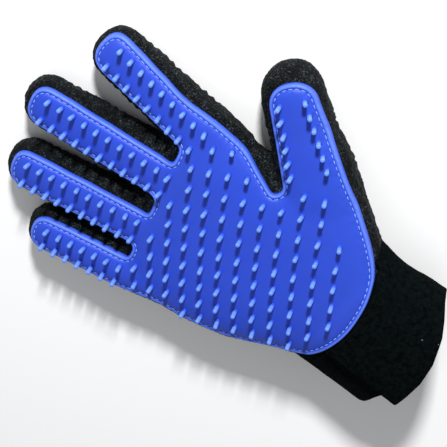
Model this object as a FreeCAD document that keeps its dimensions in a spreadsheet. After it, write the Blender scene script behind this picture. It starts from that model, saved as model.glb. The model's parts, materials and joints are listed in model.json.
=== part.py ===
"""Five-finger pet grooming glove, right hand, lying on its back with the palm up.

Frame: +Z up out of the palm, +Y from the wrist towards the fingertips, +X towards the thumb.
The origin is on the resting face, under the middle of the palm. All sizes are in millimetres.

A moulded silicone pad with soft tips is sewn to a palm lining, the lining is sewn to a mesh back
that wraps round the sides of the hand and of each finger, and a stretch cuff closes with a
hook-and-loop strap over the inside of the wrist. Each digit is cut at its creases, where the pad
folds between two rows of tips, so that each length can turn on the one before it.
"""
import FreeCAD, Part
import math
import os

Vector = FreeCAD.Vector
UP = Vector(0, 0, 1)

doc = FreeCAD.newDocument("GroomingGlove")
sizes = doc.addObject("Spreadsheet::Sheet", "Sizes")

# Driving dimensions, one alias each.
SIZES = {
    "fabric": 1.6,            # lining and mesh back
    "flat": 0.5,              # how much deeper a digit's mouth sits in the hand than its sleeve
    "cuff_fabric": 2.2,       # stretch fabric of the cuff and strap
    "pad": 2.0,               # silicone sheet
    "tip_length": 5.5,        # one soft tip, above the sheet
    "tip_root_radius": 1.25,
    "tip_end_radius": 0.95,
    "tip_pitch": 6.9,         # along a digit
    "pad_end_margin": 9.5,    # from the end of a digit's pad to its last tips
    "lining_margin": 2.0,     # how far the lining shows past the pad
    "crease_gap": 0.9,        # between two lengths of a digit
    "hinge_rise": 1.4,        # crease axis above the pad's sheet
    "grid_pitch_a": 9.26,     # palm grid, along its first direction
    "grid_pitch_b": 10.59,
    "grid_turn_a": -65.0,     # directions of the palm grid from +X, in degrees
    "grid_turn_b": -152.4,
    "grid_start_x": 17.1,
    "grid_start_y": 21.0,
    "grid_spread_x": 0.096,   # how the columns spread with the square of their number
    "grid_spread_y": 0.075,   # how the rows spread, the same way
    "grid_margin": 4.6,       # from a palm tip to the edge of the pad
    "top_at_origin": 28.2,    # top of the lining over the origin
    "top_fall": 0.105,        # and how much lower it is per millimetre towards the fingertips
    "lining_share": 0.8,      # height of the seam between lining and back
    "edge_radius": 8.5,       # rounding of the hand's upper edge
    "sole_radius": 4.5,       # and of its lower edge
    "strap_start": -64.6,     # Y of the strap's edge nearest the palm
    "patch": 0.95,            # thickness of the hook patch and of the loop patch
    "layer_gap": 0.2,         # between the layers of the wrist
}

# root_x, root_y, lean from +Y towards the thumb, half widths and heights of the sleeve at root and
# end, sleeve length, pad half widths at root and end, pad length, and the pairs of tips between
# creases, from the end of the digit inwards.
DIGITS = {
    "index": (41.5, 56.0, 9.5, 15.2, 14.0, 21.5, 16.0, 65.0, 10.4, 10.6, 61.0, (2, 2, 3)),
    "middle": (11.0, 57.0, -5.5, 15.2, 14.0, 21.4, 15.6, 79.0, 10.6, 10.8, 74.5, (2, 3, 4)),
    "ring": (-20.0, 52.0, -10.5, 14.5, 13.5, 22.4, 16.2, 75.5, 10.0, 10.0, 72.0, (2, 3, 3)),
    "little": (-48.0, 46.0, -12.5, 13.0, 12.4, 22.6, 18.0, 55.5, 9.6, 9.8, 52.0, (2, 2, 2)),
    "thumb": (50.9, -11.8, 42.0, 19.5, 16.0, 28.4, 23.4, 68.0, 16.8, 11.6, 61.0, (3, 3)),
}
DIGIT_FIELDS = ("root_x", "root_y", "lean", "root_half", "end_half", "root_high", "end_high",
                "sleeve", "pad_root_half", "pad_end_half", "pad_reach")
ROW_HALF = {"index": (5.3, 5.3), "middle": (5.2, 5.6), "ring": (5.3, 5.3), "little": (4.4, 4.4),
            "thumb": (9.6, 6.4)}          # half the spacing of the two rows of tips, root and end
DIGIT_START = -26.0                       # a digit's sleeve starts this far inside the palm
PAD_OVERLAP = -8.0                        # and its strip of the pad this far
FAR = 150.0                               # beyond every piece
ABOVE = 60.0                              # above every digit
PAST_TIP = 90.0                           # from a digit's first crease to beyond its tip
THROAT_START = -8.0                       # where a digit's own hollow opens into the hand's
LONG_EDGE = 40.0                          # edges of the hand longer than this are rounded
DOME_SHARE = 0.92                         # length of a digit's round end over its half width
SPLINE_SAMPLES = 24
GRID_REACH = 16

# The hand from above, without its digits: its outer side from the wrist to the little finger, its
# edge from the index finger to the thumb, and the ball of the thumb down to the wrist. Both run on
# a little past the wrist's seam, where the hand is cut off square.
OUTER_SIDE = [(-30.4, -66.0), (-32.0, -50.0), (-36.0, -38.5), (-43.6, -24.5), (-50.0, -8.0),
              (-53.2, 8.0), (-55.6, 24.0), (-60.4, 41.0), (-63.4, 56.0), (-65.0, 72.0)]
WEB_SIDE = [(60.0, 84.0), (57.6, 62.0), (55.4, 46.0), (52.4, 33.0), (48.8, 21.0), (43.8, 10.4)]
THUMB_SIDE = [(74.8, -15.4), (66.0, -28.4), (57.0, -38.0), (50.6, -47.0), (44.6, -56.0), (42.2, -66.0)]
# Cuff sections: y, middle x, half width and height.
CUFF_SECTIONS = [
    (-64.0, 5.9, 36.4, 35.2),
    (-82.0, 6.2, 37.0, 37.4),
    (-110.0, 6.8, 37.9, 40.6),
]
CUFF_END = [(70.0, -79.0), (50.0, -85.6), (32.0, -97.6), (10.0, -103.6), (-12.0, -101.6),
            (-28.0, -96.6), (-50.0, -92.0)]
STRAP_SEAM_X = 33.5                       # where the strap leaves its sewn root
STRAP_FOLD_X = 12.0                       # where its tab begins
STRAP_END_X = -10.5                       # its free edge
STRAP_ROOT_X = 50.5                       # past the outer edge of its root, down the side of the wrist
STRAP_LOW = 20.5                          # how far down the side the root reaches
LOOP_END_X = -15.0                        # edge of the loop patch, which shows past the strap

# The palm's pad, seen from above: the straight front edge under the fingers, then round the thumb
# side, the heel and the outer side of the hand.
FRONT_EDGE = [(-57.4, 44.6), (51.4, 60.2)]
THUMB_WEB = [(51.4, 36.0), (47.0, 21.0), (42.0, 10.0), (52.0, 0.0)]
HEEL_CURVE = [(62.4, -24.0), (59.5, -29.6), (48.1, -44.4), (38.9, -53.7), (22.0, -60.3), (7.9, -61.6),
              (-4.1, -60.4), (-15.1, -57.3), (-22.6, -52.0), (-31.6, -37.9), (-39.5, -24.2),
              (-45.8, -8.0), (-49.4, 8.0), (-51.8, 24.0), (-57.4, 44.6)]

for row, (alias, value) in enumerate(SIZES.items(), 1):
    sizes.set("A%d" % row, alias)
    sizes.set("B%d" % row, str(value))
    sizes.setAlias("B%d" % row, alias)
row = len(SIZES)
for digit, values in DIGITS.items():
    for field, value in zip(DIGIT_FIELDS, values):
        row += 1
        sizes.set("A%d" % row, digit + "_" + field)
        sizes.set("B%d" % row, str(value))
        sizes.setAlias("B%d" % row, digit + "_" + field)
doc.recompute()


def cell(alias):
    """The value of a cell of the sheet."""
    return float(sizes.get(alias))


def bind(thing, **expressions):
    """Binds properties of a document object to expressions of the sheet's cells."""
    for name, expression in expressions.items():
        thing.setExpression(name.replace("__", "."), expression)
    return thing


def add(kind, name, **properties):
    """A document object with its properties set."""
    thing = doc.addObject(kind, name)
    thing.Label = name
    for key, value in properties.items():
        setattr(thing, key, value)
    return thing


def cut(name, base, tool):
    return add("Part::Cut", name, Base=base, Tool=tool)


def common(name, base, tool):
    return add("Part::Common", name, Base=base, Tool=tool)


def solid(name, shape):
    """A piece whose shape is made by Part's own functions."""
    return add("Part::Feature", name, Shape=shape)


def turned(angle):
    """The rotation that stands an ellipse upright, facing along +Y, then turns it about Z."""
    return FreeCAD.Rotation(UP, angle) * FreeCAD.Rotation(Vector(1, 0, 0), 90)


def loft(name, sections):
    """A solid through upright ellipses: each x, y, z, half width, half height and turn is a number
    or an expression of the sheet's cells, apart from the turn, which is a number."""
    rings = []
    for k, (x, y, z, half_width, half_height, turn) in enumerate(sections):
        ring = add("Part::Ellipse", "%s_ring_%d" % (name, k))
        ring.Placement = FreeCAD.Placement(Vector(0, 0, 0), turned(turn))
        bind(ring, MajorRadius=str(half_width), MinorRadius=str(half_height),
             Placement__Base__x=str(x), Placement__Base__y=str(y), Placement__Base__z=str(z))
        rings.append(ring)
    return add("Part::Loft", name, Sections=rings, Solid=True, Ruled=False, MaxDegree=3)


def wrist_loft(name, sections, grow="0", ends=(0, 0)):
    """The cuff as a loft, grown by an expression, and run on past its two ends."""
    rings = []
    for k, (y, x, half_width, high) in enumerate(sections):
        run_on = ends[0] if k == 0 else ends[1] if k == len(sections) - 1 else 0
        rings.append((x, y + run_on, "%s / 2" % high, "%s + %s" % (half_width, grow),
                      "%s / 2 + %s" % (high, grow), 0))
    return loft(name, rings)


def along(digit, distance):
    """The point on a digit's axis at a distance from its root, on the resting face."""
    lean = math.radians(cell(digit + "_lean"))
    return Vector(cell(digit + "_root_x") + distance * math.sin(lean),
                  cell(digit + "_root_y") + distance * math.cos(lean), 0)


def height_at(digit, distance):
    """The height of a digit's sleeve at a distance from its root."""
    share = distance / cell(digit + "_sleeve")
    return cell(digit + "_root_high") * (1 - share) + cell(digit + "_end_high") * share


def digit_loft(name, digit, inset):
    """A digit's sleeve as a loft with a rounded end, inset by the fabric on its inner face."""
    lean = cell(digit + "_lean")
    d = "Sizes." + digit
    wall = "Sizes.fabric" if inset else "0"
    length = cell(digit + "_sleeve")
    dome = DOME_SHARE * cell(digit + "_end_half")
    stations = [(DIGIT_START, 1.0), (0.0, 1.0), (0.5 * (length - dome), 1.0)]
    stations += [(length - dome + dome * math.sin(math.radians(a)), math.cos(math.radians(a)))
                 for a in (0, 26, 48, 66, 80)]
    rings = []
    for s, shrink in stations:
        s_inside = s - (cell("fabric") * (s - length + dome) / dome if inset and s > length - dome else 0)
        share = "%.5f" % (max(s, 0.0) / length)
        half_width = "(%s_root_half * (1 - %s) + %s_end_half * %s - %s) * %.5f" % (d, share, d, share, wall, shrink)
        high = "(%s_root_high * (1 - %s) + %s_end_high * %s)" % (d, share, d, share)
        point = along(digit, s_inside)
        rings.append((point.x, point.y, "%s / 2" % high, half_width,
                      "(%s / 2 - %s) * %.5f" % (high, wall, shrink), -lean))
    return loft(name, rings)


def digit_frame(digit, distance=0.0):
    """A digit's own placement: its Y runs along the digit, its X across it."""
    return FreeCAD.Placement(along(digit, distance), FreeCAD.Rotation(UP, -cell(digit + "_lean")))


def slab(name, digit, start, end):
    """A box round the length of a digit between two distances from its root."""
    half = cell(digit + "_root_half") + 4
    box = add("Part::Box", name, Length=2 * half, Width=end - start, Height=2 * ABOVE)
    corner = FreeCAD.Placement(Vector(-half, start, -ABOVE), FreeCAD.Rotation())
    box.Placement = digit_frame(digit).multiply(corner)
    return box


def prism(name, face, low, high):
    """A flat outline raised into a block between two heights."""
    face = face.copy()
    face.translate(Vector(0, 0, low))
    return solid(name, face.extrude(Vector(0, 0, high - low)))


def strip_face(digit, grow, start=0.0):
    """The outline of a digit's pad from above, tapered and round at the end, grown by a margin."""
    root_half = cell(digit + "_pad_root_half") + grow
    end_half = cell(digit + "_pad_end_half") + grow
    reach = cell(digit + "_pad_reach") + grow
    shoulder = reach - end_half
    corners = [Vector(-root_half, start, 0), Vector(-end_half, shoulder, 0),
               Vector(end_half, shoulder, 0), Vector(root_half, start, 0)]
    end = Part.Arc(corners[1], Vector(0, reach, 0), corners[2]).toShape()
    edges = [Part.makeLine(corners[0], corners[1]), end, Part.makeLine(corners[2], corners[3]),
             Part.makeLine(corners[3], corners[0])]
    face = Part.Face(Part.Wire(edges))
    face.Placement = digit_frame(digit)
    return face


def palm_face():
    """The outline of the palm's own part of the pad from above."""
    heel = Part.BSplineCurve()
    heel.interpolate([Vector(x, y, 0) for x, y in HEEL_CURVE])
    points = [Vector(x, y, 0) for x, y in FRONT_EDGE + THUMB_WEB + HEEL_CURVE[:1]]
    edges = [Part.makeLine(a, b) for a, b in zip(points, points[1:])] + [heel.toShape()]
    return Part.Face(Part.Wire(edges))


def creases(digit):
    """Distances of a digit's creases from its root, innermost first, midway between tip rows."""
    pitch = cell("tip_pitch")
    rows = DIGITS[digit][-1]
    place = cell(digit + "_pad_reach") - cell("pad_end_margin") + pitch / 2
    found = []
    for count in rows:
        place -= count * pitch
        found.append(place)
    return sorted(found)


def tip_rows(digit):
    """Distances of a digit's pairs of tips from its root, outermost first, down to the root."""
    pitch = cell("tip_pitch")
    place = cell(digit + "_pad_reach") - cell("pad_end_margin")
    found = []
    while place > (-5.0 if digit != "thumb" else creases(digit)[0]):
        found.append(place)
        place -= pitch
    return found


def digit_top(digit, x, y):
    """The height of a digit's sleeve under its pad at a point seen from above."""
    local = digit_frame(digit).inverse().multVec(Vector(x, y, 0))
    share = min(max(local.y, 0) / cell(digit + "_sleeve"), 1)
    half_width = cell(digit + "_root_half") * (1 - share) + cell(digit + "_end_half") * share
    half_height = height_at(digit, max(local.y, 0)) / 2
    dome = DOME_SHARE * cell(digit + "_end_half")
    past = max(local.y - (cell(digit + "_sleeve") - dome), 0) / dome
    shrink = math.sqrt(max(1 - past ** 2, 0.01))
    return half_height * (1 + shrink * math.sqrt(max(1 - (local.x / half_width / shrink) ** 2, 0.01)))


def hand_top(x, y):
    """The height of the hand's lining under the pad at a point seen from above."""
    radius = cell("edge_radius")
    point = Part.Vertex(x, y, 0)
    inside = min([point.distToShape(side)[0] for side in HAND_SIDES] + [radius])
    drop = radius - math.sqrt(radius ** 2 - (radius - inside) ** 2)
    return cell("top_at_origin") - cell("top_fall") * y - drop


def soft_tip():
    """One tip: a slightly tapered stalk with a round end, rooted in the sheet."""
    root, end, length = cell("tip_root_radius"), cell("tip_end_radius"), cell("tip_length")
    depth = cell("pad") / 2
    profile = [Part.makeLine(Vector(0, 0, -depth), Vector(root, 0, -depth)),
               Part.makeLine(Vector(root, 0, -depth), Vector(end, 0, length - end)),
               Part.Arc(Vector(end, 0, length - end),
                        Vector(end * math.sqrt(0.5), 0, length - end * (1 - math.sqrt(0.5))),
                        Vector(0, 0, length)).toShape(),
               Part.makeLine(Vector(0, 0, length), Vector(0, 0, -depth))]
    return Part.Face(Part.Wire(profile)).revolve(Vector(0, 0, 0), UP, 360)


TIP = soft_tip()


def standing_tip(top, x, y):
    """A tip standing square to the pad, over a surface given by its height, at a point seen from above."""
    tip = TIP.copy()
    step = cell("pad")
    normal = Vector(top(x - step, y) - top(x + step, y), top(x, y - step) - top(x, y + step), 2 * step)
    base = Vector(x, y, top(x, y)) + normal.normalize() * cell("pad")
    tip.Placement = FreeCAD.Placement(base, FreeCAD.Rotation(UP, normal))
    return tip


nodes = {}


def piece(name, thing):
    """Names a finished piece of the glove."""
    thing.Label = name
    nodes[name] = thing
    return thing


# ---- Digits -------------------------------------------------------------------------------------
LENGTH_NAMES = {3: ("base", "middle", "end"), 2: ("base", "end")}
outer_lofts, inner_lofts, front_boxes, inner_front_boxes, throats = {}, {}, [], [], []
for digit in DIGITS:
    outer_lofts[digit] = digit_loft(digit + "_outer", digit, False)
    inner_lofts[digit] = digit_loft(digit + "_inner", digit, True)
doc.recompute()

for digit in DIGITS:
    outer, inner = outer_lofts[digit], inner_lofts[digit]
    folds = creases(digit)
    gap = cell("crease_gap") / 2
    tube = cut(digit + "_tube", outer, inner)
    raised = solid(digit + "_raised", outer.Shape.translated(Vector(0, 0, cell("pad"))))
    sheet = cut(digit + "_sheet", raised, outer)
    middle_height = height_at(digit, cell(digit + "_sleeve")) / 2 + 1
    lining_block = prism(digit + "_lining_block", strip_face(digit, cell("lining_margin")), middle_height, ABOVE)
    pad_block = prism(digit + "_pad_block", strip_face(digit, 0), middle_height, ABOVE)
    pad_strip = common(digit + "_pad_strip", sheet, pad_block)
    front_boxes.append(slab(digit + "_front", digit, folds[0] - gap, folds[0] + PAST_TIP))
    inner_front_boxes.append(slab(digit + "_inner_front", digit, folds[0] - gap - cell("fabric"),
                                  folds[0] + PAST_TIP))
    throat = solid(digit + "_throat_form", inner.Shape.translated(Vector(0, 0, -cell("flat"))))
    mouth = slab(digit + "_throat_slab", digit, THROAT_START, folds[0] + 2)
    throats.append(common(digit + "_throat", throat, mouth))
    ends = folds + [cell(digit + "_sleeve") + 8]
    rows = tip_rows(digit)
    for k, length_name in enumerate(LENGTH_NAMES[len(folds)]):
        name = "%s_%s" % (digit, length_name)
        last = k == len(folds) - 1
        box = slab(name + "_slab", digit, ends[k] + gap, ends[k + 1] - (0 if last else gap))
        sleeve = common(name + "_sleeve", tube, box)
        piece(name + "_lining", common(name + "_lining", sleeve, lining_block))
        piece(name + "_back", cut(name + "_back", sleeve, lining_block))
        strip = common(name + "_strip", pad_strip, box)
        tips = []
        for s in rows:
            if ends[k] < s < ends[k + 1]:
                share = s / cell(digit + "_pad_reach")
                half = ROW_HALF[digit][0] * (1 - share) + ROW_HALF[digit][1] * share
                for side in (-half, half):
                    spot = digit_frame(digit).multVec(Vector(side, s, 0))
                    tips.append(standing_tip(lambda x, y: digit_top(digit, x, y), spot.x, spot.y))
        tip_group = solid(name + "_tips", Part.makeCompound(tips))
        piece(name + "_pad", add("Part::Fuse", name + "_pad", Base=strip, Tool=tip_group))

# ---- Hand ---------------------------------------------------------------------------------------
def shifted_spline(points, inset):
    """A smooth edge through points, moved to its right-hand side by an inset."""
    curve = Part.BSplineCurve()
    curve.interpolate([Vector(x, y, 0) for x, y in points])
    if inset:
        moved = []
        for k in range(SPLINE_SAMPLES + 1):
            u = curve.FirstParameter + (curve.LastParameter - curve.FirstParameter) * k / SPLINE_SAMPLES
            tangent = curve.tangent(u)[0]
            moved.append(curve.value(u) + Vector(tangent.y, -tangent.x, 0) * inset)
        curve = Part.BSplineCurve()
        curve.interpolate(moved)
    return curve.toShape()


def long_curved_edges(block, at_most):
    """The long curved edges of a block that lie within the lowest heights, or above them."""
    found = [e for e in block.Edges if e.Length > LONG_EDGE and not isinstance(e.Curve, Part.Line)]
    return ([e for e in found if e.BoundBox.ZMax < at_most], [e for e in found if e.BoundBox.ZMin > at_most])


def hand_block(inset):
    """The hand without its digits: its outline raised to a sloping top, with rounded long edges."""
    sides = [shifted_spline(side, inset) for side in (OUTER_SIDE, WEB_SIDE, THUMB_SIDE)]
    edges = []
    for k, side in enumerate(sides):
        follower = sides[(k + 1) % len(sides)]
        edges += [side, Part.makeLine(side.Vertexes[-1].Point, follower.Vertexes[0].Point)]
    face = Part.Face(Part.Wire(edges))
    face.translate(Vector(0, 0, inset))
    block = face.extrude(Vector(0, 0, FAR))
    top, fall = cell("top_at_origin") - inset, cell("top_fall")
    slope = [Vector(-FAR, -FAR, top + FAR * fall), Vector(-FAR, FAR, top - FAR * fall),
             Vector(-FAR, FAR, 2 * FAR), Vector(-FAR, -FAR, 2 * FAR)]
    above = Part.Face(Part.makePolygon(slope + slope[:1])).extrude(Vector(2 * FAR, 0, 0))
    block = block.cut(above)
    block = block.makeFillet(cell("edge_radius") - inset, long_curved_edges(block, inset + 1)[1])
    return block.makeFillet(cell("sole_radius") - inset, long_curved_edges(block, inset + 1)[0])


def half_space(name, share):
    """A block over a slope that lies at a share of the hand's height."""
    top, fall = cell("top_at_origin") * share, cell("top_fall") * share
    slope = [Vector(-FAR, -FAR, top + FAR * fall), Vector(-FAR, FAR, top - FAR * fall),
             Vector(-FAR, FAR, 2 * FAR), Vector(-FAR, -FAR, 2 * FAR)]
    return solid(name, Part.Face(Part.makePolygon(slope + slope[:1])).extrude(Vector(2 * FAR, 0, 0)))


def main_solid(name, thing):
    """The largest solid of a shape, without the offcuts where its seam meets a finger's mouth."""
    return solid(name, max(thing.Shape.Solids, key=lambda s: s.Volume))


HAND_SIDES = [shifted_spline(side, 0) for side in (OUTER_SIDE, WEB_SIDE, THUMB_SIDE)]
palm_form = solid("palm_form", hand_block(0))
palm_hollow = solid("palm_hollow", hand_block(cell("fabric")))
wrist_end = add("Part::Box", "wrist_end", Length=2 * FAR, Width=FAR, Height=2 * FAR)
wrist_end.Placement.Base = Vector(-FAR, CUFF_SECTIONS[0][0] - FAR, -FAR)
fronts = add("Part::MultiFuse", "fronts", Shapes=front_boxes + [wrist_end])
hand_form = cut("hand_form", palm_form, fronts)
hand_hollow = cut("hand_hollow", palm_hollow, add("Part::MultiFuse", "inner_fronts", Shapes=inner_front_boxes))
hand_wall = cut("hand_wall", hand_form, hand_hollow)
upper = half_space("upper_space", cell("lining_share"))
mouths = add("Part::Compound", "mouths", Links=throats)
back_shell = cut("back_shell", cut("back_wall", hand_wall, upper), mouths)
lining_shell = cut("lining_shell", common("lining_wall", hand_wall, upper), mouths)
doc.recompute()
piece("hand_back", main_solid("hand_back", back_shell))
piece("palm_lining", main_solid("palm_lining", lining_shell))

strips = [strip_face(digit, 0, PAD_OVERLAP) for digit in DIGITS]
outline = palm_face().multiFuse(strips).removeSplitter().Faces[0]
outline_block = prism("palm_pad_block", outline, cell("top_at_origin") / 2, FAR)
raised = solid("palm_raised", palm_form.Shape.translated(Vector(0, 0, cell("pad"))))
pad_sheet = cut("palm_sheet", common("palm_cap", raised, outline_block), palm_form)
pad_sheet = cut("palm_pad_sheet", pad_sheet, fronts)
doc.recompute()

margin = outline.makeOffset2D(-cell("grid_margin"))
finger_tips = []
for digit in DIGITS:
    for s in tip_rows(digit):
        if s < creases(digit)[0]:
            share = s / cell(digit + "_pad_reach")
            half = ROW_HALF[digit][0] * (1 - share) + ROW_HALF[digit][1] * share
            finger_tips += [digit_frame(digit).multVec(Vector(side, s, 0)) for side in (-half, half)]


def on_digit(digit, spot):
    """Whether a point seen from above is at or past a digit's first crease."""
    local = digit_frame(digit).inverse().multVec(spot)
    return local.y > creases(digit)[0] - cell("tip_pitch") / 2 and abs(local.x) < cell(digit + "_root_half")


grid_start = Vector(cell("grid_start_x"), cell("grid_start_y"), 0)
step_a, step_b = [Vector(pitch * math.cos(math.radians(turn)), pitch * math.sin(math.radians(turn)), 0)
                  for pitch, turn in ((cell("grid_pitch_a"), cell("grid_turn_a")),
                                      (cell("grid_pitch_b"), cell("grid_turn_b")))]
spread = Vector(cell("grid_spread_x"), 0, 0), Vector(0, -cell("grid_spread_y"), 0)
spots = list(finger_tips)
for i in range(-GRID_REACH, GRID_REACH + 1):
    for j in range(-GRID_REACH, GRID_REACH + 1):
        spot = grid_start + step_a * i + step_b * j + spread[0] * j ** 2 + spread[1] * i ** 2
        clear = min(spot.distanceToPoint(other) for other in finger_tips) > cell("tip_pitch") * 0.8
        if clear and margin.isInside(spot, 0.01, True) and not any(on_digit(digit, spot) for digit in DIGITS):
            spots.append(spot)

palm_tips = solid("palm_tips", Part.makeCompound([standing_tip(hand_top, p.x, p.y) for p in spots]))
piece("palm_pad", add("Part::Fuse", "palm_pad", Base=pad_sheet, Tool=palm_tips))

# ---- Cuff and strap -----------------------------------------------------------------------------
cuff_outer = wrist_loft("cuff_outer", CUFF_SECTIONS)
cuff_inner = wrist_loft("cuff_inner", CUFF_SECTIONS, "-Sizes.cuff_fabric", (1, -2))
doc.recompute()


def plan_region(name, x_low, x_high, y_high, end_inset):
    """A block over the wrist between two X, from a Y down to the cuff's curved end."""
    end = Part.BSplineCurve()
    end.interpolate([Vector(x, y + end_inset, 0) for x, y in CUFF_END])
    end = end.toShape()
    right, left = end.Vertexes[0].Point, end.Vertexes[-1].Point
    corners = [left, Vector(left.x, y_high, 0), Vector(right.x, y_high, 0), right]
    edges = [end] + [Part.makeLine(a, b) for a, b in zip(corners, corners[1:])]
    block = Part.Face(Part.Wire(edges)).extrude(Vector(0, 0, 2 * FAR))
    window = Part.makeBox(x_high - x_low, 2 * FAR, 2 * FAR, Vector(x_low, -2 * FAR + y_high, 0))
    return solid(name, block.common(window))


cuff_tube = cut("cuff_tube", cuff_outer, cuff_inner)
piece("cuff_band", common("cuff_band", cuff_tube, plan_region("cuff_region", -60, 65, CUFF_SECTIONS[0][0], 0)))

stack = "Sizes.layer_gap"
layers = {}
for layer, thickness in (("loop", "Sizes.patch"), ("hook", "Sizes.patch"), ("strap", "Sizes.cuff_fabric")):
    under = wrist_loft(layer + "_under", CUFF_SECTIONS, stack, (1, -2))
    over = wrist_loft(layer + "_over", CUFF_SECTIONS, stack + " + " + thickness)
    layers[layer] = (under, over)
    stack += " + %s + Sizes.layer_gap" % thickness
doc.recompute()


def wrist_layer(name, under, over, x_low, x_high, y_high, end_inset):
    """A piece of cloth that follows the wrist between two X."""
    sheet = cut(name + "_sheet", over, under)
    above = add("Part::Box", name + "_half", Length=2 * FAR, Width=2 * FAR, Height=FAR)
    above.Placement.Base = Vector(-FAR, -2 * FAR, STRAP_LOW)
    upper_sheet = common(name + "_upper", sheet, above)
    return piece(name, common(name, upper_sheet, plan_region(name + "_region", x_low, x_high, y_high, end_inset)))


start = cell("strap_start")
crease = cell("crease_gap") / 2
strap_under, strap_over = layers["strap"]
wrist_layer("strap_root", layers["loop"][0], strap_over, STRAP_SEAM_X + crease, STRAP_ROOT_X, start, 1.0)
wrist_layer("strap_middle", strap_under, strap_over, STRAP_FOLD_X + crease, STRAP_SEAM_X - crease, start, 1.0)
wrist_layer("strap_tab", strap_under, strap_over, STRAP_END_X, STRAP_FOLD_X - crease, start, 1.0)
wrist_layer("hook_patch", *layers["hook"], STRAP_END_X + 2.5, STRAP_FOLD_X - 3, start - 4, 5.0)
wrist_layer("loop_patch", *layers["loop"], LOOP_END_X, STRAP_FOLD_X - 1, start - 3, 4.0)
doc.recompute()

# ---- Check and write ----------------------------------------------------------------------------
faults = [thing.Name for thing in doc.Objects if "Invalid" in thing.State or "Error" in thing.State]
for name, thing in nodes.items():
    shape = thing.Shape
    if shape.isNull() or not shape.isValid() or len(shape.Solids) != 1:
        faults.append("%s (%d solids)" % (name, 0 if shape.isNull() else len(shape.Solids)))
print("pieces", len(nodes), "faults", faults)
os.makedirs("parts", exist_ok=True)
for name, thing in nodes.items():
    if not thing.Shape.isNull():
        thing.Shape.exportStep("parts/%s.step" % name)
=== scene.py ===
import json
import math
import random

import bpy
import numpy as np
from mathutils import Matrix, Vector, noise
from mathutils.bvhtree import BVHTree
from mathutils.geometry import delaunay_2d_cdt


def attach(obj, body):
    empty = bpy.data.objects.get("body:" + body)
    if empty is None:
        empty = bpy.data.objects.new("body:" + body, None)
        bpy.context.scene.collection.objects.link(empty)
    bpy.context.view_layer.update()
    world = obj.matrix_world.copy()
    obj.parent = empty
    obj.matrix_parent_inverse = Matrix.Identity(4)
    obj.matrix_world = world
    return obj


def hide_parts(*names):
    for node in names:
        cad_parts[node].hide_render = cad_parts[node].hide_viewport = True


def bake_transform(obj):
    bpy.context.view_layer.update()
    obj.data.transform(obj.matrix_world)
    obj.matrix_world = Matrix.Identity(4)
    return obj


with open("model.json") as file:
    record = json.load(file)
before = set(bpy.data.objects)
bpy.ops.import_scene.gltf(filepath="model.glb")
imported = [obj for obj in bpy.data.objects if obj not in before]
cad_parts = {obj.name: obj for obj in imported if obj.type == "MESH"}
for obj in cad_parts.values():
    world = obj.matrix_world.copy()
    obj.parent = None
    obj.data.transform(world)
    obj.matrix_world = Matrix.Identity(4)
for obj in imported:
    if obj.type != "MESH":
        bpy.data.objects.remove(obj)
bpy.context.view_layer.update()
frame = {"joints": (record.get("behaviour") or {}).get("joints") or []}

# Lengths below are millimetres in the CAD frame: +X to the thumb, +Y to the fingertips, +Z out of the palm.
MM = 0.001
random.seed(7)

# ---- The glove's sizes --------------------------------------------------------------------------
# root x, y, lean to the thumb, sleeve half widths and heights at root and end, sleeve length,
# pad half widths at root and end, pad length, power of the pad's round end.
DIGITS = {
    "index": (41.5, 56.0, 9.5, 15.0, 14.0, 21.6, 16.0, 63.2, 10.0, 10.9, 61.0, 2.7),
    "middle": (11.0, 57.0, -5.5, 15.0, 14.0, 21.6, 15.6, 79.0, 10.5, 10.9, 74.5, 2.6),
    "ring": (-20.0, 52.0, -10.5, 14.4, 13.5, 22.2, 16.2, 75.5, 9.8, 10.2, 72.0, 2.6),
    "little": (-48.0, 46.0, -12.5, 13.0, 12.4, 22.4, 17.0, 55.5, 9.6, 9.6, 52.0, 2.4),
    "thumb": (50.9, -11.8, 42.0, 20.0, 16.4, 28.0, 23.0, 68.0, 16.8, 11.7, 61.0, 2.2),
}
TIP_PITCH = 6.9
PAD_END_MARGIN = 9.5
TIP_ROWS = {"index": (5.3, 5.3), "middle": (5.2, 5.6), "ring": (5.3, 5.3), "little": (4.4, 4.4),
            "thumb": (9.9, 5.2)}
GRID_START = Vector((17.1, 21.0))
GRID_A = Vector((3.91, -8.39))
GRID_B = Vector((-9.38, -4.91))
GRID_SPREAD = (0.096, 0.075)             # spread of its columns and rows with the square of their number
GRID_LAST = 6                            # column beside the thumb, which has only its lower half
GRID_REACH = 16                          # more rows and columns than the palm holds

# Hand sections: y, left, right, top, turn of the section in degrees, power of its outline.
HAND = [
    (-66.0, -29.6, 41.0, 35.0, 0.0, 2.1), (-56.0, -30.4, 43.6, 34.0, 0.0, 2.3),
    (-45.0, -33.2, 51.0, 33.0, 0.0, 2.5), (-34.0, -38.2, 59.4, 31.8, 0.0, 2.6),
    (-20.0, -45.8, 66.0, 30.4, 0.0, 2.7), (-6.0, -50.6, 62.0, 29.0, 0.0, 2.8),
    (8.0, -53.2, 53.0, 27.6, 2.0, 2.8), (24.0, -55.4, 51.6, 26.0, 5.0, 2.8),
    (40.0, -58.2, 55.2, 24.2, 8.2, 2.8), (51.0, -60.0, 56.4, 23.0, 8.2, 2.7),
    (57.0, -58.0, 54.0, 19.0, 8.2, 2.4),
]
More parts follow.
